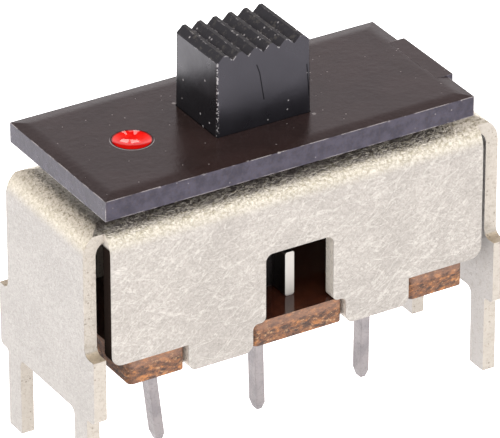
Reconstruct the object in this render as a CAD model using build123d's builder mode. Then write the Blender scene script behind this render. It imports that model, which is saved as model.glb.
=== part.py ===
from build123d import *
import os
from math import radians, sin, tan

# Slide switch with one change-over contact, soldered to a printed circuit board.
# X runs along the slide, Y across it, and Z up from the circuit board, at whose face Z is zero.
# The slider stands a little left of the middle, so its pieces are built at that place.

# Clearances
running_gap = 0.04
side_gap = 0.12
fit_gap = 0.02
stop_gap = 0.05
same_place = 0.001

# Travel
slide_travel = 2.0
slider_place = -0.46
rocker_swing = 5.0

# Folded steel frame
sheet = 0.52
frame_length = 17.4
frame_width = 6.4
frame_height = 7.5
fold_inside = 0.53
notch_end_gap = 0.38
slot_corner = 0.3

# Long flanges: lower edge, window and staking tabs
flange_clear = 2.0
flange_corner = 0.45
window_width = 2.84
window_height = 2.73
window_corner = 0.3
notch_step = 0.54
notch_round_share = 0.4
tab_width = 2.7
tab_corner = 0.35
clinch_height = 0.1
clinch_reach = 0.25

# End flanges: ears that seat on the circuit board, and solder legs
end_flange_step = 0.4
ear_reach = 0.65
ear_height = 2.55
ear_fillet = 0.3
ear_corner = 0.2
leg_inset = 0.55
leg_width = 0.9
leg_length = 3.15
leg_fillet = 0.3
leg_outer_fillet = 0.15

# Terminal board
board_thickness = 1.0
board_end_gap = 1.13
tongue_inset = 0.1
tongue_gap = 0.1
tongue_corner = 0.2

# Terminals
terminal_pitch = 4.7
terminal_sheet = 0.38
pivot_height = 1.25
cradle_end = 1.02
cradle_lip = 0.1
cradle_gap = 0.08
cradle_offset = 0.3
cradle_corner = 0.09
pin_width = 0.62
pin_edge = 0.08
pin_length = 3.7
pin_tip = 0.3
pin_tip_share = 0.6
pin_lean_angles = (6.7, 1.5, -0.8)

# Rocker contact
rocker_width = 1.8
rocker_thickness = 0.45
rocker_overhang = 0.5
rocker_corner = 0.4

# Knob, and the carriage under the frame
knob_length = 3.9
knob_width = 2.95
knob_height = 3.16
knob_draft = 0.7
knob_edge = 0.08
tooth_count = 6
tooth_flat = 0.14
tooth_depth = 0.25
carriage_length = 9.2
carriage_deck = 0.8
skirt_thickness = 0.45
skirt_clear = 0.9
boss_diameter = 2.6
boss_clear = 0.85
bore_roof = 1.95

# Plunger and its spring
plunger_diameter = 1.2
plunger_body = 2.6
plunger_gap = 0.05
stem_diameter = 0.6
stem_length = 1.4
spring_wire = 0.16
spring_turns = 5
spring_wire_sides = 8

# Cover plate and red dot
cover_length = 15.3
cover_width = 6.9
cover_thickness = 0.84
roll_width = 0.45
roll_depth = 0.05
roll_blend = 2.4
cover_tab_reach = 0.24
cover_tab_width = 3.3
collar_length = 5.4
collar_width = 4.0
collar_height = 0.6
dot_diameter = 1.5
dot_inset = 3.05
dot_depth = 0.35
dot_dish = 0.16

# Lengths and widths that several pieces share
inner_length = frame_length - 2 * sheet
inner_width = frame_width - 2 * sheet
long_flange_length = inner_length - 2 * notch_end_gap
end_flange_width = frame_width - 2 * end_flange_step
tab_inside = window_width / 2 + notch_step
tab_middle = tab_inside + tab_width / 2
ear_span = end_flange_width + 2 * ear_reach
leg_spacing = ear_span - 2 * leg_inset - leg_width
board_length = inner_length - 2 * board_end_gap
board_width = frame_width - 2 * tongue_inset
blade_width = rocker_width + 2 * (cradle_gap + cradle_end)
pivot_width = rocker_width + 4 * cradle_gap
rocker_length = 2 * (terminal_pitch + rocker_overhang)
carriage_width = inner_width - 2 * side_gap
pivot_radius = terminal_sheet / 2

# Heights, from the terminal board up to the knob's top
board_top = flange_clear
board_under = board_top - board_thickness
tab_bottom = board_under - clinch_height
pivot_z = board_top + pivot_height
rocker_top = pivot_z + rocker_thickness
rocker_drop = terminal_pitch * sin(radians(rocker_swing))
rocker_lift = rocker_length / 2 * sin(radians(rocker_swing))
frame_under = frame_height - sheet
carriage_top = frame_under - running_gap
carriage_bottom = rocker_top + rocker_lift + skirt_clear
carriage_height = carriage_top - carriage_bottom
collar_under = frame_height + running_gap
cover_under = collar_under + collar_height
cover_top = cover_under + cover_thickness
knob_top = cover_top + knob_height
plunger_tip = rocker_top + running_gap
spring_seat = plunger_tip + plunger_body
bore_top = knob_top - bore_roof


def corners_at(outline, across, up):
    """Corners of a sketch at that distance either side of its middle, at that height."""
    return [
        corner
        for corner in outline.vertices()
        if abs(abs(corner.X) - across) < same_place and abs(corner.Y - up) < same_place
    ]


def folded_block(length, width, height, fold):
    """Closed block with rounded folds along its top."""
    with BuildPart() as block:
        with BuildSketch():
            Rectangle(length, width)
        extrude(amount=height)
        fillet(block.faces().sort_by(Axis.Z)[-1].edges(), fold)
    return block.part


# Frame: skin of the folded sheet, and the hollow inside it
frame_skin = folded_block(frame_length, frame_width, frame_height, fold_inside + sheet)
frame_hollow = folded_block(inner_length, inner_width, frame_under, fold_inside)

# Frame
with BuildPart() as frame:
    add(frame_skin)
    add(frame_hollow, mode=Mode.SUBTRACT)

    # Corner notches, right through the folds
    with BuildSketch():
        Rectangle(frame_length, frame_width)
        Rectangle(long_flange_length, frame_width, mode=Mode.SUBTRACT)
        Rectangle(frame_length, end_flange_width, mode=Mode.SUBTRACT)
    extrude(amount=frame_height, mode=Mode.SUBTRACT)

    # Gap between the ends of the long flanges and each end flange, up to its fold
    with BuildSketch(Plane.XZ) as end_gaps:
        Rectangle(inner_length, frame_under, align=(Align.CENTER, Align.MIN))
        fillet(corners_at(end_gaps, inner_length / 2, frame_under), fold_inside)
        Rectangle(
            long_flange_length, frame_under, align=(Align.CENTER, Align.MIN), mode=Mode.SUBTRACT
        )
    extrude(amount=frame_width, both=True, mode=Mode.SUBTRACT)

    # Slot in the top, as long as the knob's foot and its travel
    with BuildSketch(Plane.XY.offset(frame_height)):
        RectangleRounded(
            knob_length + slide_travel + 2 * stop_gap, knob_width + 2 * side_gap, slot_corner
        )
    extrude(amount=-2 * sheet, mode=Mode.SUBTRACT)

    # Lower edge of the long flanges, with a window above the middle notch and a tab each side
    with BuildSketch(Plane.XZ) as lower_edge:
        Rectangle(long_flange_length + notch_end_gap, flange_clear, align=(Align.CENTER, Align.MIN))
        with Locations((-tab_middle, tab_bottom), (tab_middle, tab_bottom)):
            Rectangle(tab_width, frame_height, align=(Align.CENTER, Align.MIN), mode=Mode.SUBTRACT)
        Rectangle(window_width, flange_clear + window_height, align=(Align.CENTER, Align.MIN))
        fillet(corners_at(lower_edge, window_width / 2, flange_clear + window_height), window_corner)
        notch_corners = corners_at(lower_edge, window_width / 2, flange_clear)
        notch_corners += corners_at(lower_edge, tab_inside, flange_clear)
        fillet(notch_corners, notch_step * notch_round_share)
        tab_corners = corners_at(lower_edge, tab_inside, tab_bottom)
        tab_corners += corners_at(lower_edge, tab_inside + tab_width, tab_bottom)
        fillet(tab_corners, tab_corner)
    extrude(amount=frame_width, both=True, mode=Mode.SUBTRACT)
    flange_ends = [
        edge
        for edge in frame.edges().filter_by(Axis.Y)
        if abs(abs(edge.center().X) - long_flange_length / 2) < same_place
        and abs(edge.center().Z - flange_clear) < same_place
    ]
    fillet(flange_ends, flange_corner)

    # Staked lip of each tab, which holds the board up
    lip_length = tab_width - 2 * tab_corner
    lip_starts = (-tab_middle - lip_length / 2, tab_middle - lip_length / 2)
    with BuildSketch(*[Plane.YZ.offset(start) for start in lip_starts]):
        with BuildLine():
            Polyline(
                (inner_width / 2, board_under),
                (inner_width / 2 - clinch_reach, board_under),
                (inner_width / 2, tab_bottom),
                close=True,
            )
        make_face()
        mirror(about=Plane.YZ)
    extrude(amount=lip_length)

    # Ears and legs of the end flanges
    with BuildSketch(Plane.YZ.offset(inner_length / 2), Plane.YZ.offset(-frame_length / 2)) as end:
        Rectangle(end_flange_width, ear_height + 2 * ear_fillet, align=(Align.CENTER, Align.MIN))
        Rectangle(ear_span, ear_height, align=(Align.CENTER, Align.MIN))
        with Locations((-leg_spacing / 2, 0), (leg_spacing / 2, 0)):
            Rectangle(leg_width, leg_length, align=(Align.CENTER, Align.MAX))
        fillet(corners_at(end, end_flange_width / 2, ear_height), ear_fillet)
        fillet(corners_at(end, ear_span / 2, 0), ear_corner)
        fillet(corners_at(end, (leg_spacing - leg_width) / 2, 0), leg_fillet)
        fillet(corners_at(end, (leg_spacing + leg_width) / 2, 0), leg_outer_fillet)
    extrude(amount=sheet)

# Terminal board, with tongues under the long flanges and a slot for each terminal
with BuildPart() as terminal_board:
    with BuildSketch(Plane.XY.offset(board_under)) as board_outline:
        Rectangle(board_length, board_width)
        with GridLocations(2 * tab_middle, inner_width + board_width, 2, 2):
            Rectangle(tab_width + 2 * tongue_gap, board_width + 2 * fit_gap, mode=Mode.SUBTRACT)
        fillet(board_outline.vertices().group_by(Axis.Y)[0], tongue_corner)
        fillet(board_outline.vertices().group_by(Axis.Y)[-1], tongue_corner)
        with GridLocations(terminal_pitch, board_width, len(pin_lean_angles), 1):
            RectangleRounded(
                terminal_sheet + 2 * fit_gap, pin_width + 2 * fit_gap, pin_edge, mode=Mode.SUBTRACT
            )
    extrude(amount=board_thickness)


def terminal(place, lean, blade_top, width, cradle_top=None):
    """Stamped terminal: a blade on the board, rounded above blade_top, and a pin that leans."""
    with BuildPart() as piece:
        with BuildSketch(Plane.XZ):
            with Locations((place, board_top)):
                Rectangle(
                    terminal_sheet, blade_top - board_top, align=(Align.CENTER, Align.MIN)
                )
            with Locations((place, blade_top)):
                Circle(pivot_radius)
        extrude(amount=width / 2, both=True)

        # Upright ends that keep the rocker in its place, set to one side, on the centre terminal
        if cradle_top:
            cradle_starts = (blade_width / 2 - cradle_end, -blade_width / 2)
            with BuildSketch(*[Plane.XZ.offset(start) for start in cradle_starts]):
                with Locations((place + cradle_offset, board_top)):
                    RectangleRounded(
                        terminal_sheet,
                        cradle_top - board_top,
                        cradle_corner,
                        align=(Align.CENTER, Align.MIN),
                    )
            extrude(amount=cradle_end)

        # Pin: straight through the board, leaning below it, and narrower at its tip
        lean_slope = tan(radians(lean))
        tip_place = place + (board_under + pin_length) * lean_slope
        tip_start = place + (board_under + pin_length - pin_tip) * lean_slope
        pin_sections = (
            (board_top, place, 1),
            (board_under, place, 1),
            (pin_tip - pin_length, tip_start, 1),
            (-pin_length, tip_place, pin_tip_share),
        )
        for upper, lower in zip(pin_sections, pin_sections[1:]):
            for height, middle, share in (upper, lower):
                with BuildSketch(Plane.XY.offset(height)):
                    with Locations((middle, 0)):
                        RectangleRounded(terminal_sheet * share, pin_width * share, pin_edge * share)
            loft()
    return piece


left_lean, centre_lean, right_lean = pin_lean_angles
end_blade = pivot_z - rocker_drop - fit_gap - pivot_radius
terminal_left = terminal(-terminal_pitch, left_lean, end_blade, blade_width)
terminal_centre = terminal(0, centre_lean, pivot_z, pivot_width, rocker_top + cradle_lip)
terminal_right = terminal(terminal_pitch, right_lean, end_blade, blade_width)

# Rocker contact: strip with a groove that sits on the centre blade, tilted as the slider leaves it
rocker_rest = rocker_swing * slider_place / (slide_travel / 2)
rocker_plane = Plane.XY.offset(pivot_z).rotated((0, rocker_rest, 0))
with BuildPart() as rocker_contact:
    with BuildSketch(rocker_plane):
        RectangleRounded(rocker_length, rocker_width, rocker_corner)
    extrude(amount=rocker_thickness)
    with BuildSketch(Plane.XZ):
        with Locations((0, pivot_z)):
            Circle(pivot_radius + fit_gap)
    extrude(amount=rocker_width, both=True, mode=Mode.SUBTRACT)

# Slider
bore_radius = plunger_diameter / 2 + plunger_gap
knob_top_length = knob_length - 2 * knob_height * tan(radians(knob_draft))
tooth_pitch = knob_top_length / tooth_count
groove_half = (tooth_pitch - tooth_flat) / 2
with BuildPart() as slider:
    with BuildSketch(Plane.XY.offset(cover_top)):
        with Locations((slider_place, 0)):
            RectangleRounded(knob_length, knob_width, knob_edge)
    extrude(amount=knob_height, taper=knob_draft)

    # Foot of the knob, through the cover plate and the frame
    with BuildSketch(Plane.XY.offset(carriage_top)):
        with Locations((slider_place, 0)):
            RectangleRounded(knob_length, knob_width, knob_edge)
    extrude(amount=cover_top - carriage_top)

    # Ridges: a V groove between teeth, and half a groove at each end
    with BuildSketch(Plane.XZ):
        with Locations((slider_place, knob_top)):
            with GridLocations(tooth_pitch, knob_height, tooth_count + 1, 1):
                Polygon((-groove_half, 0), (0, -tooth_depth), (groove_half, 0), align=None)
    extrude(amount=knob_width, both=True, mode=Mode.SUBTRACT)

    # Carriage: channel under the frame, and a boss round the plunger
    with BuildSketch(Plane.YZ.offset(slider_place - carriage_length / 2)) as channel:
        with Locations((0, carriage_bottom)):
            Rectangle(carriage_width, carriage_height, align=(Align.CENTER, Align.MIN))
            Rectangle(
                carriage_width - 2 * skirt_thickness,
                carriage_height - carriage_deck,
                align=(Align.CENTER, Align.MIN),
                mode=Mode.SUBTRACT,
            )
        fillet(corners_at(channel, carriage_width / 2, carriage_top), fold_inside)
    extrude(amount=carriage_length)
    with BuildSketch(Plane.XY.offset(carriage_top)):
        with Locations((slider_place, 0)):
            Circle(boss_diameter / 2)
    extrude(amount=rocker_top + boss_clear - carriage_top)

    # Bore for the plunger and its spring
    with BuildSketch(Plane.XY.offset(bore_top)):
        with Locations((slider_place, 0)):
            Circle(bore_radius)
    extrude(amount=rocker_top - bore_top, mode=Mode.SUBTRACT)

# Plunger: round nose, body in the bore and a stem inside the spring
plunger_plane = Plane(origin=(slider_place, 0, plunger_tip), x_dir=(1, 0, 0), z_dir=(0, -1, 0))
with BuildPart() as plunger:
    with BuildSketch(plunger_plane):
        with BuildLine():
            nose = plunger_diameter / 2
            CenterArc((0, nose), nose, -90, 90)
            Polyline(
                (nose, nose),
                (nose, plunger_body),
                (stem_diameter / 2, plunger_body),
                (stem_diameter / 2, plunger_body + stem_length),
                (0, plunger_body + stem_length),
                (0, 0),
            )
        make_face()
    revolve(axis=Axis((slider_place, 0, 0), (0, 0, 1)))

# Plunger spring, between the plunger's shoulder and the end of the bore, its wire with a few flats
coil_height = bore_top - spring_seat - spring_wire
with BuildPart() as plunger_spring:
    with BuildLine() as coil:
        Helix(
            pitch=coil_height / spring_turns,
            height=coil_height,
            radius=(plunger_diameter - spring_wire) / 2,
            center=(slider_place, 0, spring_seat + spring_wire / 2),
        )
    with BuildSketch(Plane(origin=coil.line @ 0, z_dir=coil.line % 0)):
        RegularPolygon(spring_wire / 2, spring_wire_sides)
    sweep(is_frenet=True)

# Cover plate, its top edges rolled over by the punch
dot_x = slider_place - cover_length / 2 + dot_inset
with BuildPart() as cover_plate:
    with BuildSketch(Plane.XY.offset(cover_under)):
        with Locations((slider_place, 0)):
            Rectangle(cover_length, cover_width)
    extrude(amount=cover_thickness)
    face_above = cover_plate.faces().sort_by(Axis.Z)[-1]
    chamfer(face_above.edges(), roll_width, roll_depth, reference=face_above)
    fillet(cover_plate.faces().sort_by(Axis.Z)[-1].edges(), roll_blend)

    # Tab at the right end, level with the top
    with BuildSketch(Plane.XY.offset(cover_under)):
        with Locations((slider_place + cover_length / 2 + cover_tab_reach, 0)):
            Rectangle(
                cover_tab_reach + roll_width, cover_tab_width, align=(Align.MAX, Align.CENTER)
            )
    extrude(amount=cover_thickness)

    # Collar that rides on the frame's top, and the hole for the knob's foot
    with BuildSketch(Plane.XY.offset(collar_under)):
        with Locations((slider_place, 0)):
            RectangleRounded(collar_length, collar_width, slot_corner)
    extrude(amount=collar_height)
    with BuildSketch(Plane.XY.offset(collar_under)):
        with Locations((slider_place, 0)):
            RectangleRounded(knob_length + 2 * fit_gap, knob_width + 2 * fit_gap, knob_edge)
    extrude(amount=collar_height + cover_thickness, mode=Mode.SUBTRACT)

    # Recess for the dot
    with BuildSketch(Plane.XY.offset(cover_top)):
        with Locations((dot_x, 0)):
            Circle(dot_diameter / 2)
    extrude(amount=-dot_depth, mode=Mode.SUBTRACT)

# Red dot, with a dished top
dot_radius = dot_diameter / 2 - fit_gap
dish_radius = (dot_radius**2 + dot_dish**2) / (2 * dot_dish)
with BuildPart() as indicator_dot:
    with BuildSketch(Plane.XY.offset(cover_top - dot_depth)):
        with Locations((dot_x, 0)):
            Circle(dot_radius)
    extrude(amount=dot_depth)
    with Locations((dot_x, 0, cover_top - dot_dish + dish_radius)):
        Sphere(dish_radius, mode=Mode.SUBTRACT)

pieces = {
    "frame": frame,
    "terminal_board": terminal_board,
    "terminal_left": terminal_left,
    "terminal_centre": terminal_centre,
    "terminal_right": terminal_right,
    "rocker_contact": rocker_contact,
    "slider": slider,
    "cover_plate": cover_plate,
    "indicator_dot": indicator_dot,
    "plunger": plunger,
    "plunger_spring": plunger_spring,
}
os.makedirs("parts", exist_ok=True)
for name, piece in pieces.items():
    piece.part.label = name
    export_step(piece.part, f"parts/{name}.step")
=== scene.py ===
import math

import bpy
from mathutils import Matrix, Vector


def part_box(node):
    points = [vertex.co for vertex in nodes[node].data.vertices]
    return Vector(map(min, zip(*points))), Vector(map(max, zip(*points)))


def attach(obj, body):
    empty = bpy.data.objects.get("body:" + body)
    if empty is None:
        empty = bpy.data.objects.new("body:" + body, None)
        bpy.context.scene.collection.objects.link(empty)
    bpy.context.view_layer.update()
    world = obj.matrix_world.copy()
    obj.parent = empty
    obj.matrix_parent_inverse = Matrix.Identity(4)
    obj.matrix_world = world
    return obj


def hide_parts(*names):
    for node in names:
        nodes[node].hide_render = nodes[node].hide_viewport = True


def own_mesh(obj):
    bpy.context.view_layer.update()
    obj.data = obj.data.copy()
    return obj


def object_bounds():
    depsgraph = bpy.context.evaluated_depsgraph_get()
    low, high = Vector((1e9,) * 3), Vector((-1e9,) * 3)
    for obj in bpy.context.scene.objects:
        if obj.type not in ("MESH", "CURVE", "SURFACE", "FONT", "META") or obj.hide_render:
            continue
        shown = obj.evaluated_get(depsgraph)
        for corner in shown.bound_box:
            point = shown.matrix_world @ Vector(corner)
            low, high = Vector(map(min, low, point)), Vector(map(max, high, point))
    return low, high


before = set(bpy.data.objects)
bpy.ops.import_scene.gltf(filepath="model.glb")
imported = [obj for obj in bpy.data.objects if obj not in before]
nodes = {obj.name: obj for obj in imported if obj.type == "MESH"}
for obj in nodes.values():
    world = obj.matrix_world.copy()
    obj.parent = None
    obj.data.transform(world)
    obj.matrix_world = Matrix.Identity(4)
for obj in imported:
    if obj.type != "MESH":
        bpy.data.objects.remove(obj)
cad_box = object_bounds()

# Looks of a slide switch: worn tin plating, black mouldings, red enamel and a fibrous brown board.
# Sizes and places on the switch are in millimetres, and a texture's scale is in features per millimetre.
# A pair of numbers is where a mask starts and where it is full, or a value's two ends.
# A coat is a colour, in linear red, green and blue, and the share of it that covers what lies below.
MM = 0.001

# Camera, fitted to the photograph: angles in degrees, place in millimetres, focal length in pixels
photo_width = 500
focal_pixels = 5604.7
camera_azimuth = 30.931
camera_elevation = 29.137
camera_roll = -0.074
camera_place = Vector((-91.557, -152.506, 103.445))
sensor_width = 36.0
clip_near = 0.01
clip_far = 10

# Floor, in metres
floor_size = 1.6
floor_shine = {"Roughness": 0.9, "Emission Strength": 1.1, "Emission Color": (1.0, 0.99, 1.0, 1.0)}
floor_cloud = dict(scale=0.02)
floor_pale = (0.86, 0.86, 0.87)
floor_white = (0.9, 0.9, 0.9)

# Lights, in degrees, metres and watts: four small ones for the dot alone, and one overhead for all
dot_light_tint = (1.0, 0.95, 0.9)
dot_lights = {
    "dot_left": dict(azimuth=41, elevation=38, distance=0.5, width=0.08, height=0.13, watts=0.16),
    "dot_right": dict(azimuth=25, elevation=38.5, distance=0.5, width=0.09, height=0.13, watts=0.18),
    "rim_left": dict(azimuth=62, elevation=62, distance=0.5, width=0.14, height=0.06, watts=0.15),
    "rim_right": dict(azimuth=1, elevation=67, distance=0.5, width=0.14, height=0.06, watts=0.15),
}
overhead_tint = (1.0, 0.98, 0.95)
overhead_light = dict(azimuth=-60, elevation=78, distance=0.6, width=0.5, height=0.5, watts=1.4)

# Sky: the slant along which it darkens, and its colours at three places along that slant
sky_slant = (0.1, 0.35, 1.0)
sky_low = (0.35, (1.0, 1.0, 1.0))
sky_middle = (0.8, (0.46, 0.42, 0.42))
sky_high = (1.0, (0.05, 0.048, 0.046))
sky_strength = 2.0

# Faces that turn one way: part of the unit normal along that way, or against it
facing = (0.8, 0.95)
facing_against = (-0.8, -0.95)

# Edges, specks and lines that all the materials use
edge_turn = (0.995, 0.86)
edge_samples = 6
speck_core_share = 0.6
speck_choice = 0.01
noise_middle = 0.5
line_core_share = 0.3
rough_step = (0.35, 0.7)
cloud_step = (0.35, 0.65)
full_gloss = 0.5

# Frame: outside faces of its flanges from its middle, depths in from them, and its corner slots
long_face = 3.2
end_face = 8.7
skin_depths = (0.03, 0.0)
ear_depths = (0.6, 0.7)
# Corner slots: depth in from the end face, half width, softness, and the heights below which painted shade
# fills them
slot_depth = 0.9
slot_half = 0.1
slot_soft = 0.02
slot_height = (6.85, 6.72)

# Frame: heights and slopes of its folds, ledges and inner faces
fold_height = (5.0, 5.6)
fold_slope = (0.05, 0.6)
top_slope = (0.0, 0.04)
steep_slope = (0.55, 0.95)
ledge_slope = (0.5, 0.8)
end_slope = (0.1, 0.3)
inner_turn = (-4.0, -6.0)

# Frame: textures of its tin
tin_patches = dict(scale=0.45, detail=3.0)
tin_mottle = dict(scale=8.5, detail=3.0, roughness=0.7)
tin_grain = dict(scale=9.0, detail=3.0, roughness=0.6)
tin_worms = dict(scale=2.6, detail=2.0, distortion=2.2)
worm_line = dict(middle=noise_middle, half=0.006, soft=0.03)
dark_strokes = dict(spread=3.2, length=6.0, turns=((0, 38, 20), (0, -35, -25), (70, 10, 45)), width=0.016)
pale_strokes = dict(spread=2.4, length=9.0, turns=((0, 8, 12), (0, -25, -15), (0, -45, 10)), width=0.012)
tin_pits = dict(scale=4.2, size=0.2, share=0.3)
cut_specks = dict(scale=6.5, size=0.32, share=0.28)
patch_step = (0.38, 0.62)
grain_step = (0.45, 0.68)
fold_grain_step = (0.5, 0.7)
shade_step = (0.62, 0.76)
steep_share = 0.12
cut_mottle_step = (0.52, 0.64)

# Frame: colours, roughness and bump of its tin
tin_pale = (0.385, 0.36, 0.332)
tin_dull = (0.345, 0.322, 0.297)
grain_coat = ((0.27, 0.25, 0.228), 0.45)
pale_stroke_coat = ((0.52, 0.495, 0.455), 0.42)
dark_stroke_coat = ((0.22, 0.205, 0.185), 0.32)
pit_coat = ((0.19, 0.175, 0.16), 0.4)
# Painted shade: the outer faces of the end flanges are darker than the long ones
end_shade_coat = ((0.285, 0.275, 0.265), 0.45)
# Folds: mottled cream tin, painted paler than the flats as a highlight along the bends
fold_pale = (0.66, 0.61, 0.525)
fold_dark = (0.45, 0.405, 0.315)
fold_share = 0.9
# Painted shade: darker, warmer folds where they turn to the ends
fold_end_shade_coat = ((0.5, 0.445, 0.35), 0.3)
fold_grain_coat = ((0.3, 0.27, 0.2), 0.35)
fold_shade_coat = ((0.19, 0.165, 0.115), 0.6)
# Cut faces: painted light where they face along the length, painted shade where they face another way
cut_shaded = (0.4, 0.36, 0.31)
cut_lit = (0.74, 0.68, 0.6)
cut_share = 0.85
# Tan cut faces that face up, painted lighter than the shade they lie in
ledge_light_coat = ((0.5, 0.4, 0.27), 0.8)
# Painted shade: darker grey on the inner faces of the end flanges
inner_shade_coat = ((0.36, 0.342, 0.33), 0.9)
cut_mottle_coat = ((0.24, 0.205, 0.16), 0.4)
cut_speck_coat = ((0.14, 0.115, 0.09), 0.6)
# Painted shade: near-black in the lower part of each corner slot
slot_shade_colour = (0.016, 0.011, 0.009)
tin_rough = (0.3, 0.42)
flat_to_fold = (0.1, 1.0)
fold_bump = 0.015
grain_bump = 0.012
stroke_bump = -0.006
skin_to_cut_metal = (1.0, 0.3)

# Terminals
terminal_patches = dict(scale=1.2, detail=3.0)
terminal_grain = dict(scale=10.0, detail=3.0, roughness=0.6)
terminal_lines = dict(scale=8.0, detail=2.0, stretch=(1, 1, 8))
terminal_patch_step = (0.4, 0.65)
terminal_grain_step = (0.5, 0.75)
terminal_pale = (0.27, 0.25, 0.25)
terminal_dull = (0.21, 0.195, 0.2)
terminal_grain_coat = ((0.12, 0.11, 0.11), 0.35)
inside_height = (1.9, 2.1)
# Painted shade: terminals dark above the board, inside the switch
inside_shade_coat = ((0.04, 0.036, 0.034), 0.8)
# Painted light: pale, less metallic front ends of the terminals above the board
front_end_place = (-1.3, -1.6)
front_end_light_coat = ((0.6, 0.57, 0.53), 0.9)
front_end_metal = (1.0, 0.1)
terminal_rough = (0.32, 0.45)
terminal_grain_bump = 0.015
terminal_line_bump = 0.006

# Cover plate: nicks beside the knob as (x, y), burr along its margins, and dust
nick_places = ((-2.4, 1.6), (1.5, -1.68))
nick_size = 0.1
plate_shine = {"IOR": 1.42, "Specular Tint": (0.9, 0.85, 1.0, 1.0)}
plate_cloud = dict(scale=0.6, detail=3.0)
plate_grain = dict(scale=9.0, detail=3.0)
plate_lines = dict(scale=6.0, detail=2.0, stretch=(1, 1, 14))
plate_blotch = dict(scale=2.4, detail=4.0, roughness=0.65)
fine_dust = dict(scale=3.6, size=0.13, share=0.16)
fine_dust_step = (0.35, 0.55)
sparse_dust = dict(scale=1.6, size=0.07, share=0.35)
even_dust = dict(scale=2.7, size=0.08, share=0.25)
burr_width = 0.06
burr_noise = dict(scale=1.6, detail=3.0)
burr_step = (0.42, 0.56)
lump_width = 0.14
lump_spots = dict(scale=2.2, size=0.2, share=0.3)
margin_across = (3.0, 3.2)
margin_along = (6.6, 6.8)
plate_grain_step = (0.45, 0.72)
edge_dark = (0.014, 0.012, 0.02)
edge_pale = (0.036, 0.032, 0.047)
plate_dark = (0.016, 0.008, 0.006)
plate_pale = (0.022, 0.011, 0.009)
plate_grain_coat = ((0.036, 0.024, 0.022), 0.45)
# Painted shade: near-black in the dot's recess round the enamel
recess_shade = (0.01, 0.005, 0.004)
# Colour of dust, burr, and the painted highlight on the recess's lip
dust_and_highlight_colour = (0.36, 0.33, 0.32)
dust_share = 0.5
burr_and_highlight_share = 0.8
plate_rough = (0.2, 0.27)
plate_grain_bump = 0.0022
plate_line_bump = 0.002
plate_blotch_bump = 0.008
plate_end_gloss = 0.36

# Dot and its recess: radii from the dot's middle, and places along the level way to its bright back side;
# the enamel's front gets painted shade and the recess's front lip a painted highlight.
# That way is fixed on the part. Its azimuth, in degrees, is the one that the photograph was taken along.
dot_bright_azimuth = 30.931
# Painted highlight on the front of the recess's lip: its ring and the side it lies on
lip_ring = dict(middle=0.795, half=0.004, soft=0.018)
lip_side = (0.2, -0.2)
recess_ring = (0.79, 0.77)
hollow_ring = (0.66, 0.72)
shade_side = (0.02, -0.2)
enamel_shine = {"IOR": 1.5}
enamel_cloud = dict(scale=3.0, detail=2.0)
enamel_ripple = dict(scale=3.5, detail=1.0)
enamel_dark = (0.62, 0.003, 0.002)
enamel_pale = (0.75, 0.012, 0.006)
# Painted shade in a ring round the enamel's edge
hollow_shade_coat = ((0.05, 0.008, 0.006), 0.8)
# Painted shade on the enamel's front, where its gloss is also taken away
front_shade_coat = ((0.3, 0.002, 0.002), 0.6)
enamel_rough = (0.03, 0.07)
enamel_bump = 0.006

# Knob: its front-left corner as (x, y), marks on its front as (x, z), and depths below its top
knob_corner = (-2.41, -1.475)
corner_reach = (0.1, 0.06)
crack_path = ((-0.75, 11.45), (-0.63, 11.1), (-0.46, 10.0))
scratch_path = ((1.33, 10.93), (1.42, 9.66))
mark_half = 0.012
mark_soft = 0.022
groove_depths = (0.3, 0.2)
groove_slope = (0.1, 0.3)
lower_depths = (1.4, 2.0)
wear_depths = (2.95, 2.8)
wear_width = 0.08
knob_shine = {"IOR": 1.54, "Specular Tint": (0.9, 0.86, 1.0, 1.0)}
knob_grain = dict(scale=9.0, detail=3.0)
knob_cloud = dict(scale=0.9, detail=2.0)
powder_noise = dict(scale=4.0, detail=5.0, roughness=0.7)
powder_step = (0.53, 0.66)
knob_dust = dict(scale=2.1, size=0.1, share=0.2)
groove_dust = dict(scale=5.0, size=0.25, share=0.3)
lower_dust = dict(scale=3.6, size=0.13, share=0.2)
chip_spots = dict(scale=4.0, size=0.4, share=0.5)
chip_noise = dict(scale=4.5, detail=4.0)
chip_step = (0.58, 0.63)
corner_noise = dict(scale=10.0, detail=1.0)
corner_step = (0.5, 0.58)
knob_grain_step = (0.5, 0.8)
knob_black = (0.0015, 0.0015, 0.002)
knob_grain_coat = ((0.006, 0.0055, 0.008), 0.4)
powder_coat = ((0.1, 0.09, 0.07), 0.35)
knob_wear_coat = ((0.38, 0.36, 0.36), 0.75)
dull_share = 0.6
dull_gloss = 0.1
knob_rough = (0.27, 0.36)
knob_grain_bump = 0.002
knob_cloud_bump = 0.012

# Terminal board: torn edge, and a band along its upper part, from the middle of its thickness
board_shine = {"IOR": 1.55}
board_face = (0.7, 0.9)
torn_fibres = dict(scale=4.5, detail=5.0, roughness=0.72, stretch=(1.5, 1.5, 0.8))
torn_flecks = dict(scale=9.0, detail=3.0, roughness=0.6, stretch=(1.6, 1.6, 0.8))
torn_low_step = (0.38, 0.52)
torn_high_step = (0.52, 0.64)
torn_dark = (0.035, 0.013, 0.006)
torn_brown = (0.15, 0.058, 0.022)
torn_orange = (0.36, 0.14, 0.036)
fleck_step = (0.58, 0.7)
fleck_coat = ((0.5, 0.29, 0.14), 0.6)
torn_pit_step = (0.42, 0.32)
torn_pit_coat = ((0.04, 0.014, 0.007), 0.8)
band_start = 0.2
band_full = 0.45
band_fibre_share = 0.4
band_coat = ((0.24, 0.13, 0.085), 0.45)
gloss_step = (0.4, 0.7)
gloss_dark = (0.035, 0.01, 0.006)
gloss_brown = (0.07, 0.02, 0.01)
torn_to_face_rough = (0.65, 0.12)
torn_bump = 0.06

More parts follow.
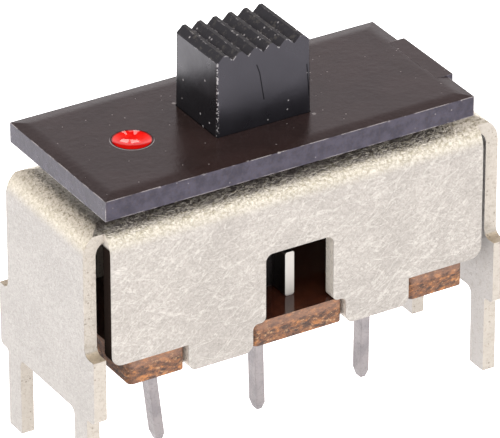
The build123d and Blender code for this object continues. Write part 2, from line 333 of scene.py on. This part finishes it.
# Rocker contact, plunger and spring
metal_cloud = dict(scale=2.0, detail=3.0)
metal_lines = dict(scale=9.0, detail=2.0, stretch=(6, 1, 1))
metal_bump = 0.004
contact_colours = ((0.5, 0.43, 0.3), (0.35, 0.29, 0.2))
contact_rough = (0.35, 0.47)
spring_colours = ((0.55, 0.55, 0.56), (0.4, 0.4, 0.41))
spring_rough = (0.25, 0.37)
plunger_shine = {"IOR": 1.5}
plunger_cloud = dict(scale=1.5, detail=2.0)
plunger_grain = dict(scale=12.0)
plunger_bump = 0.002
plunger_colours = ((0.8, 0.79, 0.74), (0.7, 0.69, 0.64))
plunger_rough = (0.3, 0.4)


def lowest(node):
    """Lowest corner of a node, in millimetres."""
    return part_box(node)[0] / MM


def highest(node):
    """Highest corner of a node, in millimetres."""
    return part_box(node)[1] / MM


def middle_of(node):
    """Middle of a node's box, in millimetres."""
    return (lowest(node) + highest(node)) / 2


def level_way(azimuth):
    """Level (x, y) direction at an azimuth in degrees, which is 0 along +Y and 90 along +X."""
    turn = math.radians(azimuth)
    return (math.sin(turn), math.cos(turn))


def inset(outside, depths):
    """Places that lie those depths in from an outside face, or below a top."""
    return [outside - depth for depth in depths]


class Look:
    """A procedural material: one Principled shader, and short ways to add the nodes that feed it."""

    def __init__(self, name, values=None):
        self.material = bpy.data.materials.new(name)
        self.material.use_nodes = True
        self.tree = self.material.node_tree
        self.shader = self.tree.nodes["Principled BSDF"]
        for socket, value in (values or {}).items():
            self.shader.inputs[socket].default_value = value
        coordinates = self.add("ShaderNodeTexCoord").outputs["Object"]
        self.place = self.vector("SCALE", coordinates, scale=1 / MM)
        self.x, self.y, self.z = self.parts(self.place)
        normal = self.add("ShaderNodeNewGeometry").outputs["Normal"]
        turned = self.add("ShaderNodeVectorTransform", vector_type="NORMAL")
        turned.convert_from = "WORLD"
        turned.convert_to = "OBJECT"
        self.feed(turned.inputs[0], normal)
        self.nx, self.ny, self.nz = self.parts(turned.outputs[0])

    def add(self, kind, **settings):
        node = self.tree.nodes.new(kind)
        for name, value in settings.items():
            setattr(node, name, value)
        return node

    def feed(self, socket, value):
        if isinstance(value, bpy.types.NodeSocket):
            self.tree.links.new(value, socket)
        else:
            socket.default_value = value

    def parts(self, vector):
        node = self.add("ShaderNodeSeparateXYZ")
        self.feed(node.inputs[0], vector)
        return node.outputs

    def vector(self, operation, one, other=None, scale=None):
        node = self.add("ShaderNodeVectorMath", operation=operation)
        self.feed(node.inputs[0], one)
        if other is not None:
            self.feed(node.inputs[1], other)
        if scale is not None:
            self.feed(node.inputs["Scale"], scale)
        return node.outputs[0]

    def measure(self, operation, one, other):
        """A number from two vectors, such as their distance or dot product."""
        node = self.add("ShaderNodeVectorMath", operation=operation)
        self.feed(node.inputs[0], one)
        self.feed(node.inputs[1], other)
        return node.outputs["Value"]

    def math(self, operation, one, other=0.0):
        node = self.add("ShaderNodeMath", operation=operation)
        self.feed(node.inputs[0], one)
        self.feed(node.inputs[1], other)
        return node.outputs[0]

    def absolute(self, value):
        return self.math("ABSOLUTE", value)

    def times(self, *values):
        total = values[0]
        for value in values[1:]:
            total = self.math("MULTIPLY", total, value)
        return total

    def most(self, *values):
        total = values[0]
        for value in values[1:]:
            total = self.math("MAXIMUM", total, value)
        return total

    def rise(self, value, start, end):
        """0 below start, 1 above end and smooth between them; falling where start is the larger."""
        node = self.add("ShaderNodeMapRange", interpolation_type="SMOOTHSTEP")
        for socket, number in zip(node.inputs[:5], (value, start, end, 0.0, 1.0)):
            self.feed(socket, number)
        return node.outputs[0]

    def band(self, value, middle, half, soft):
        """1 within half of the middle, falling to 0 over the soft width."""
        away = self.absolute(self.math("SUBTRACT", value, middle))
        return self.rise(away, half + soft, half)

    def noise(self, scale, detail=2.0, roughness=0.5, stretch=(1, 1, 1), turn=(0, 0, 0), distortion=0.0):
        """Noise of that many features per millimetre, drawn out by stretch along turned axes."""
        mapping = self.add("ShaderNodeMapping", vector_type="TEXTURE")
        self.feed(mapping.inputs["Vector"], self.place)
        mapping.inputs["Rotation"].default_value = [math.radians(angle) for angle in turn]
        mapping.inputs["Scale"].default_value = stretch
        node = self.add("ShaderNodeTexNoise")
        self.feed(node.inputs["Vector"], mapping.outputs[0])
        for name, value in (("Scale", scale), ("Detail", detail), ("Roughness", roughness)):
            node.inputs[name].default_value = value
        node.inputs["Distortion"].default_value = distortion
        return node.outputs["Fac"]

    def specks(self, scale, size, share):
        """Small round spots: that many cells per millimetre, a spot of that size in a share of them."""
        node = self.add("ShaderNodeTexVoronoi")
        self.feed(node.inputs["Vector"], self.place)
        node.inputs["Scale"].default_value = scale
        spot = self.rise(node.outputs["Distance"], size, size * speck_core_share)
        chosen = self.rise(self.parts(node.outputs["Color"])[0], 1 - share, 1 - share + speck_choice)
        return self.times(spot, chosen)

    def edges(self, radius):
        """1 close to a convex or concave edge, 0 on the open face."""
        bevel = self.add("ShaderNodeBevel", samples=edge_samples)
        bevel.inputs["Radius"].default_value = radius * MM
        normal = self.add("ShaderNodeNewGeometry").outputs["Normal"]
        return self.rise(self.measure("DOT_PRODUCT", bevel.outputs[0], normal), *edge_turn)

    def mix(self, share, one, other):
        node = self.add("ShaderNodeMix", data_type="RGBA")
        self.feed(node.inputs["Factor"], share)
        self.feed(node.inputs[6], self.colour(one))
        self.feed(node.inputs[7], self.colour(other))
        return node.outputs[2]

    @staticmethod
    def colour(value):
        return value if isinstance(value, bpy.types.NodeSocket) else (*value, 1.0)

    def coat(self, under, coat, *masks):
        """A coat, which is a colour and its share, over what lies under it, where all the masks are."""
        colour, share = coat
        return self.mix(self.times(*masks, share), under, colour)

    def between(self, share, low, high):
        """A number that goes from low to high as share goes from 0 to 1."""
        node = self.add("ShaderNodeMapRange")
        for socket, number in zip(node.inputs[:5], (share, 0.0, 1.0, low, high)):
            self.feed(socket, number)
        return node.outputs[0]

    def bump(self, *layers):
        """Bump from (height, depth in millimetres) layers, one on the other."""
        normal = None
        for height, depth in layers:
            node = self.add("ShaderNodeBump")
            node.inputs["Strength"].default_value = 1.0
            node.inputs["Distance"].default_value = depth * MM
            self.feed(node.inputs["Height"], height)
            if normal is not None:
                self.feed(node.inputs["Normal"], normal)
            normal = node.outputs[0]
        self.feed(self.shader.inputs["Normal"], normal)

    def gloss(self, mask, level):
        """Strength of the shader's reflection, which goes from full to a level where the mask is."""
        self.feed(self.shader.inputs["Specular IOR Level"], self.between(mask, full_gloss, level))

    def finish(self, colour, roughness=None):
        self.feed(self.shader.inputs["Base Color"], colour)
        if roughness is not None:
            self.feed(self.shader.inputs["Roughness"], roughness)
        return self.material


def scratches(look, spread, length, turns, width):
    """Fine straight scratches: streaks of noise that cross at the given turns."""
    lines = []
    for turn in turns:
        streak = look.noise(spread, detail=1.0, stretch=(length, 1, 1), turn=turn)
        lines.append(look.band(streak, noise_middle, width * line_core_share, width))
    return look.most(*lines)


def spot_distance(look, place):
    """Distance from the upright line through an (x, y) place."""
    return look.measure("DISTANCE", look.vector("MULTIPLY", look.place, (1, 1, 0)), (*place, 0))


def ring_distance(look, node):
    """Distance from the upright line through the middle of a node."""
    return spot_distance(look, middle_of(node)[:2])


def lean_along(look, node, direction):
    """Distance from the middle of a node along a level (x, y) direction."""
    away = look.vector("SUBTRACT", look.place, (*middle_of(node),))
    return look.measure("DOT_PRODUCT", away, (*direction, 0))


def mark(look, path):
    """Fine dark line along a path of (x, z) points on a front face."""
    pieces = []
    for (one_x, one_z), (other_x, other_z) in zip(path, path[1:]):
        lean = (other_x - one_x) / (other_z - one_z)
        line = look.math("ADD", look.math("MULTIPLY", look.math("SUBTRACT", look.z, one_z), lean), one_x)
        near = look.band(look.math("SUBTRACT", look.x, line), 0.0, mark_half, mark_soft)
        span = look.band(look.z, (one_z + other_z) / 2, (one_z - other_z) / 2, mark_soft)
        pieces.append(look.times(near, span))
    return look.times(look.most(*pieces), look.rise(look.ny, *facing_against))


def tin_frame(name):
    """Matt tin on folded steel: fine strokes on the flats, mottling on the folds with painted highlight and
    shade, bare cut faces in painted light and shade, and painted shade on the end faces, the inner faces
    and in the slots.
    """
    look = Look(name)
    along = look.absolute(look.x)
    end_turn = look.absolute(look.nx)
    upper = look.rise(look.z, *fold_height)
    fold = look.times(look.rise(look.nz, *fold_slope), upper)
    steep = look.rise(look.nz, *steep_slope)
    ends = look.rise(end_turn, *facing)
    sides = look.rise(look.absolute(look.y), *inset(long_face, skin_depths))
    sides = look.times(sides, look.rise(along, *inset(end_face, ear_depths)))
    tops = look.times(look.rise(look.nz, *top_slope), upper)
    skin = look.most(tops, sides, look.rise(along, *inset(end_face, skin_depths)))
    cut = look.math("SUBTRACT", 1.0, skin)
    # Painted shade: the lower part of each corner slot, near-black, with no metal and no gloss
    slot_shade = look.band(along, end_face - slot_depth, slot_half, slot_soft)
    slot_shade = look.times(slot_shade, look.rise(look.z, *slot_height), cut)
    inner_shade = look.rise(look.times(look.x, look.nx), *inner_turn)
    mottle = look.noise(**tin_mottle)
    grain = look.noise(**tin_grain)
    worms = look.band(look.noise(**tin_worms), **worm_line)
    dark_lines = look.most(worms, scratches(look, **dark_strokes))
    colour = look.mix(look.rise(look.noise(**tin_patches), *patch_step), tin_pale, tin_dull)
    colour = look.coat(colour, grain_coat, look.rise(grain, *grain_step))
    colour = look.coat(colour, pale_stroke_coat, scratches(look, **pale_strokes))
    colour = look.coat(colour, dark_stroke_coat, dark_lines)
    colour = look.coat(colour, pit_coat, look.specks(**tin_pits))
    # Painted shade on the outer faces of the end flanges
    colour = look.coat(colour, end_shade_coat, ends)
    # Folds: mottled cream tin, partly painted highlight
    fold_tan_and_highlight = look.mix(look.rise(mottle, *patch_step), fold_pale, fold_dark)
    # Painted shade on the folds where they turn to the ends
    fold_tan_and_highlight = look.coat(fold_tan_and_highlight, fold_end_shade_coat, look.rise(end_turn, *end_slope))
    colour = look.coat(colour, (fold_tan_and_highlight, fold_share), fold)
    colour = look.coat(colour, fold_grain_coat, fold, look.rise(grain, *fold_grain_step))
    shady = look.rise(look.math("ADD", mottle, look.times(steep, steep_share)), *shade_step)
    colour = look.coat(colour, fold_shade_coat, fold, shady)
    # Cut faces in painted light and shade, by the way they face
    bare_lit_and_shaded = look.mix(ends, cut_shaded, cut_lit)
    # Painted light: tan, lighter cut faces that face up
    bare_lit_and_shaded = look.coat(bare_lit_and_shaded, ledge_light_coat, look.rise(look.nz, *ledge_slope))
    # Painted shade on the inner faces of the end flanges
    bare_lit_and_shaded = look.coat(bare_lit_and_shaded, inner_shade_coat, inner_shade)
    colour = look.coat(colour, (bare_lit_and_shaded, cut_share), cut)
    colour = look.coat(colour, cut_mottle_coat, cut, look.rise(mottle, *cut_mottle_step))
    colour = look.coat(colour, cut_speck_coat, cut, look.specks(**cut_specks))
    colour = look.mix(slot_shade, colour, slot_shade_colour)
    rougher = look.times(look.between(fold, *flat_to_fold), mottle)
    look.bump((rougher, fold_bump), (grain, grain_bump), (dark_lines, stroke_bump))
    metal = look.times(look.between(cut, *skin_to_cut_metal), look.between(slot_shade, 1.0, 0.0))
    look.feed(look.shader.inputs["Metallic"], metal)
    look.gloss(slot_shade, 0.0)
    return look.finish(colour, look.between(look.rise(grain, *rough_step), *tin_rough))


def tin_terminal(name):
    """Tin on a stamped terminal: cloudy grey, with fine lines along the pin, painted shade above the board
    and painted light on the front ends there.
    """
    look = Look(name)
    grain = look.noise(**terminal_grain)
    above_board = look.rise(look.z, *inside_height)
    lit_front_end = look.times(look.rise(look.ny, *facing_against), above_board, look.rise(look.y, *front_end_place))
    patches = look.rise(look.noise(**terminal_patches), *terminal_patch_step)
    colour = look.mix(patches, terminal_pale, terminal_dull)
    colour = look.coat(colour, terminal_grain_coat, look.rise(grain, *terminal_grain_step))
    # Painted shade on the terminals above the board
    colour = look.coat(colour, inside_shade_coat, above_board)
    # Painted light on the front ends of the terminals inside
    colour = look.coat(colour, front_end_light_coat, lit_front_end)
    look.feed(look.shader.inputs["Metallic"], look.between(lit_front_end, *front_end_metal))
    look.bump((grain, terminal_grain_bump), (look.noise(**terminal_lines), terminal_line_bump))
    return look.finish(colour, look.between(look.rise(grain, *rough_step), *terminal_rough))


def black_plate(name):
    """Punched brown-black sheet: satin face with dust, cut edges with fine upright lines, painted shade in
    the dot's recess and a painted highlight on the front of its lip.
    """
    look = Look(name, plate_shine)
    face = look.rise(look.nz, *facing)
    cloud = look.noise(**plate_cloud)
    grain = look.noise(**plate_grain)
    blotch = look.noise(**plate_blotch)
    fine = look.times(look.specks(**fine_dust), look.rise(cloud, *fine_dust_step))
    dust = look.most(look.specks(**sparse_dust), fine, look.specks(**even_dust))
    lumps = look.times(look.edges(lump_width), look.specks(**lump_spots))
    burr = look.times(look.edges(burr_width), look.rise(look.noise(**burr_noise), *burr_step))
    margin = look.rise(look.absolute(look.y), *margin_across)
    margin = look.most(margin, look.rise(look.absolute(look.x), *margin_along))
    burr = look.times(look.most(burr, lumps), margin)
    away = ring_distance(look, "indicator_dot")
    # Painted highlight: a pale thin line on the front of the recess's lip
    near = look.rise(lean_along(look, "indicator_dot", level_way(dot_bright_azimuth)), *lip_side)
    lip_highlight = look.times(look.band(away, **lip_ring), face, near)
    recess_shade_mask = look.times(look.rise(away, *recess_ring), face)
    edge = look.mix(look.rise(blotch, *cloud_step), edge_dark, edge_pale)
    top = look.mix(look.rise(cloud, *cloud_step), plate_dark, plate_pale)
    colour = look.mix(face, edge, top)
    colour = look.coat(colour, plate_grain_coat, look.rise(grain, *plate_grain_step))
    # Painted shade in the dot's recess
    colour = look.mix(recess_shade_mask, colour, recess_shade)
    spots = [look.rise(spot_distance(look, place), nick_size, nick_size / 2) for place in nick_places]
    colour = look.coat(colour, (dust_and_highlight_colour, dust_share), look.most(dust, *spots))
    # Burr along the margins, and the painted highlight on the recess's lip
    colour = look.coat(colour, (dust_and_highlight_colour, burr_and_highlight_share), look.most(burr, lip_highlight))
    lines = look.noise(**plate_lines)
    look.bump((grain, plate_grain_bump), (lines, plate_line_bump), (blotch, plate_blotch_bump))
    look.gloss(look.rise(look.absolute(look.nx), *facing), plate_end_gloss)
    return look.finish(colour, look.between(look.rise(cloud, *cloud_step), *plate_rough))


def black_knob(name):
    """Black moulding: smooth flanks, dusty grooves, a crack, pale worn edges and painted shade low on its
    left flank.
    """
    look = Look(name, knob_shine)
    top = highest("slider")[2]
    grain = look.noise(**knob_grain)
    cloud = look.noise(**knob_cloud)
    grooves = look.rise(look.z, *inset(top, groove_depths))
    grooves = look.times(grooves, look.rise(look.nz, *groove_slope))
    lower = look.rise(look.z, *inset(top, lower_depths))
    powder = look.times(grooves, look.rise(look.noise(**powder_noise), *powder_step))
    dust = look.most(look.specks(**knob_dust), look.times(grooves, look.specks(**groove_dust)))
    dust = look.most(dust, look.times(lower, look.specks(**lower_dust)))
    corner_x, corner_y = knob_corner
    corner = look.rise(look.x, *(corner_x + reach for reach in corner_reach))
    corner = look.times(corner, look.rise(look.y, *(corner_y + reach for reach in corner_reach)))
    dotted = look.times(corner, look.rise(look.noise(**corner_noise), *corner_step))
    chips = look.most(look.specks(**chip_spots), look.rise(look.noise(**chip_noise), *chip_step))
    worn = look.times(look.edges(wear_width), chips, look.rise(look.z, *inset(top, wear_depths)))
    marks = look.most(mark(look, crack_path), mark(look, scratch_path))
    colour = look.coat(knob_black, knob_grain_coat, look.rise(grain, *knob_grain_step))
    colour = look.coat(colour, powder_coat, powder)
    colour = look.coat(colour, knob_wear_coat, look.most(dust, worn, dotted))
    # Painted shade: weaker reflection low on the knob's left flank
    shaded_foot = look.times(lower, look.rise(look.nx, *facing_against), dull_share)
    look.gloss(look.most(look.times(grooves, dull_share), marks, shaded_foot), dull_gloss)
    look.bump((grain, knob_grain_bump), (cloud, knob_cloud_bump))
    return look.finish(colour, look.between(look.rise(cloud, *rough_step), *knob_rough))


def enamel(name):
    """Thick red enamel in a dish: glossy, with painted shade in a ring round its edge and on its front,
    where its gloss is taken away.
    """
    look = Look(name, enamel_shine)
    cloud = look.noise(**enamel_cloud)
    # Painted shade: a dark ring round the enamel's edge
    hollow_shade = look.rise(ring_distance(look, "indicator_dot"), *hollow_ring)
    # Painted shade: darker red and no gloss on the enamel's front
    shaded_front = look.rise(lean_along(look, "indicator_dot", level_way(dot_bright_azimuth)), *shade_side)
    colour = look.mix(look.rise(cloud, *cloud_step), enamel_dark, enamel_pale)
    colour = look.coat(colour, hollow_shade_coat, hollow_shade)
    colour = look.coat(colour, front_shade_coat, shaded_front)
    look.gloss(shaded_front, 0.0)
    look.bump((look.noise(**enamel_ripple), enamel_bump))
    return look.finish(colour, look.between(cloud, *enamel_rough))


def fibre_board(name):
    """Phenolic board: glossy dark faces, and a punched edge of torn brown fibres."""
    look = Look(name, board_shine)
    board_middle = middle_of("terminal_board")[2]
    face = look.rise(look.absolute(look.nz), *board_face)
    fibres = look.noise(**torn_fibres)
    flecks = look.noise(**torn_flecks)
    torn = look.mix(look.rise(fibres, *torn_low_step), torn_dark, torn_brown)
    torn = look.mix(look.rise(fibres, *torn_high_step), torn, torn_orange)
    torn = look.coat(torn, fleck_coat, look.rise(flecks, *fleck_step))
    torn = look.coat(torn, torn_pit_coat, look.rise(flecks, *torn_pit_step))
    ragged = look.math("ADD", look.z, look.times(fibres, band_fibre_share))
    upper = look.rise(ragged, board_middle + band_start, board_middle + band_full)
    torn = look.coat(torn, band_coat, upper)
    gloss = look.mix(look.rise(fibres, *gloss_step), gloss_dark, gloss_brown)
    depth = look.times(look.math("SUBTRACT", 1.0, face), look.math("ADD", fibres, flecks))
    look.bump((depth, torn_bump))
    return look.finish(look.mix(face, torn, gloss), look.between(face, *torn_to_face_rough))


def plain_metal(name, colours, roughness):
    """Bare drawn or stamped metal: cloudy, with fine lines along its length."""
    look = Look(name, {"Metallic": 1.0})
    cloud = look.noise(**metal_cloud)
    look.bump((look.noise(**metal_lines), metal_bump))
    return look.finish(look.mix(look.rise(cloud, *cloud_step), *colours), look.between(cloud, *roughness))


def smooth_plastic(name, colours, roughness):
    """Pale moulded pin: smooth, a little cloudy."""
    look = Look(name, plunger_shine)
    cloud = look.noise(**plunger_cloud)
    look.bump((look.noise(**plunger_grain), plunger_bump))
    return look.finish(look.mix(cloud, *colours), look.between(cloud, *roughness))


terminal_tin = tin_terminal("terminal_tin")
looks = {
    "frame": tin_frame("frame_tin"),
    "terminal_board": fibre_board("fibre_board"),
    "terminal_left": terminal_tin,
    "terminal_centre": terminal_tin,
    "terminal_right": terminal_tin,
    "rocker_contact": plain_metal("contact_metal", contact_colours, contact_rough),
    "slider": black_knob("black_knob"),
    "cover_plate": black_plate("black_plate"),
    "indicator_dot": enamel("red_enamel"),
    "plunger": smooth_plastic("plunger_plastic", plunger_colours, plunger_rough),
    "plunger_spring": plain_metal("spring_steel", spring_colours, spring_rough),
}
for name, material in looks.items():
    mesh = nodes[name].data
    mesh.materials.clear()
    mesh.materials.append(material)

# Spring: a copy that rides with the slider, in place of the hidden original
spring = bpy.data.objects.new("spring_coil", nodes["plunger_spring"].data.copy())
bpy.context.scene.collection.objects.link(spring)
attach(spring, "slider")
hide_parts("plunger_spring")
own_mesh(spring)

# Floor: a pale sheet lit from above and below, as on a light table
floor_mesh = bpy.data.meshes.new("floor")
half = floor_size / 2
floor_z = cad_box[0][2]
corners = [(-half, -half, floor_z), (half, -half, floor_z), (half, half, floor_z), (-half, half, floor_z)]
floor_mesh.from_pydata(corners, [], [(0, 1, 2, 3)])
floor = bpy.data.objects.new("floor", floor_mesh)
bpy.context.scene.collection.objects.link(floor)
floor_look = Look("pale_floor", floor_shine)
floor_colour = floor_look.mix(floor_look.noise(**floor_cloud), floor_pale, floor_white)
floor_mesh.materials.append(floor_look.finish(floor_colour))


def soft_light(name, azimuth, elevation, distance, width, height, watts, tint, only=None):
    """Area light that faces the switch, from that azimuth (0 is behind it, along +Y) and elevation."""
    lamp = bpy.data.lights.new(name, "AREA")
    lamp.shape = "RECTANGLE"
    lamp.size = width
    lamp.size_y = height
    lamp.energy = watts
    lamp.color = tint
    rise = math.radians(elevation)
    level_x, level_y = level_way(azimuth)
    away = Vector((level_x * math.cos(rise), level_y * math.cos(rise), math.sin(rise)))
    holder = bpy.data.objects.new(name, lamp)
    holder.location = away * distance
    holder.rotation_mode = "QUATERNION"
    holder.rotation_quaternion = away.to_track_quat("Z", "Y")
    if only is not None:
        lit = bpy.data.collections.new(name)
        lit.objects.link(only)
        holder.light_linking.receiver_collection = lit
    bpy.context.scene.collection.objects.link(holder)


for name, place in dot_lights.items():
    soft_light(name, tint=dot_light_tint, only=nodes["indicator_dot"], **place)
soft_light("overhead", tint=overhead_tint, **overhead_light)

# World: bright low down and at the left and front, dark overhead and behind
world = bpy.data.worlds.new("studio")
bpy.context.scene.world = world
world.use_nodes = True
tree = world.node_tree
sky = tree.nodes.new("ShaderNodeTexCoord")
slant = tree.nodes.new("ShaderNodeVectorMath")
slant.operation = "DOT_PRODUCT"
tree.links.new(sky.outputs["Generated"], slant.inputs[0])
slant.inputs[1].default_value = sky_slant
shade = tree.nodes.new("ShaderNodeValToRGB")
tree.links.new(slant.outputs["Value"], shade.inputs[0])
for index, (place, tint) in enumerate((sky_low, sky_high)):
    shade.color_ramp.elements[index].position = place
    shade.color_ramp.elements[index].color = (*tint, 1.0)
middle_place, middle_tint = sky_middle
middle = shade.color_ramp.elements.new(middle_place)
middle.color = (*middle_tint, 1.0)
background = tree.nodes["Background"]
tree.links.new(shade.outputs[0], background.inputs["Color"])
background.inputs["Strength"].default_value = sky_strength

# Camera
turn, rise, roll = (math.radians(angle) for angle in (camera_azimuth, camera_elevation, camera_roll))
ahead = Vector((math.sin(turn) * math.cos(rise), math.cos(turn) * math.cos(rise), -math.sin(rise)))
level = Vector((math.cos(turn), -math.sin(turn), 0))
upright = level.cross(ahead)
right = level * math.cos(roll) + upright * math.sin(roll)
up = upright * math.cos(roll) - level * math.sin(roll)
lens = bpy.data.cameras.new("camera")
lens.sensor_width = sensor_width
lens.lens = sensor_width * focal_pixels / photo_width
lens.clip_start = clip_near
lens.clip_end = clip_far
camera = bpy.data.objects.new("camera", lens)
camera_turn = Matrix((right, up, -ahead)).transposed().to_4x4()
camera.matrix_world = Matrix.Translation(camera_place * MM) @ camera_turn
bpy.context.scene.collection.objects.link(camera)
bpy.context.scene.camera = camera
bpy.context.scene.view_settings.view_transform = "Standard"
